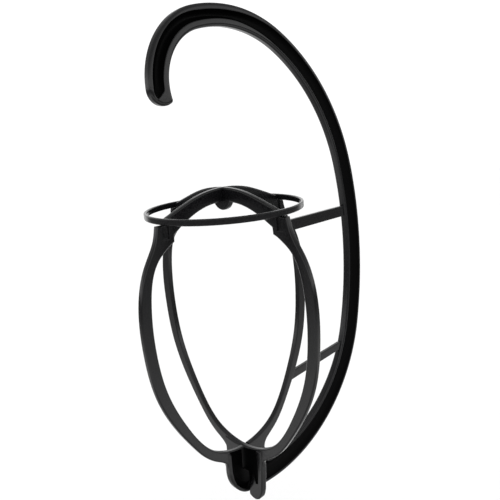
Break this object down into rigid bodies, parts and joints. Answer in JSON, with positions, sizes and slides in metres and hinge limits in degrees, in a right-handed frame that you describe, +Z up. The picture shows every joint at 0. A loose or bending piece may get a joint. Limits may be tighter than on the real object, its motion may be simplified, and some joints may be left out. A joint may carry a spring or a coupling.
{
  "type": "hanging wig stand",
  "caption": "Black plastic wig stand that hangs from a curved hook, with an egg-shaped cage of two crossed loops under a dome and a lift-off crown ring",
  "frame": {"origin": "seat of the hook: the highest point of the hook's inner edge, which rests on the rail, in the middle of the arm's depth", "axes": "+Z up along the hanging direction; +X from the hook's seat towards the arm's bend, away from the hook's open tip; +Y the side away from the arm's open trough"},
  "size_m": [0.2293, 0.1544, 0.3517],
  "materials": {
    "main_frame": "smooth moulded black, glossy",
    "cross_frame": "smooth moulded black, glossy",
    "crown_ring": "smooth moulded black, glossy"
  },
  "bodies": {
    "stand": {"main_frame": "main_frame", "cross_frame": "cross_frame"},
    "ring": {"crown_ring": "crown_ring"}
  },
  "joints": [
    {"name": "ring_lift", "type": "slide", "parent": "stand", "child": "ring", "axis": [0, 0, 1], "range_m": [0, 0.04]}
  ]
}
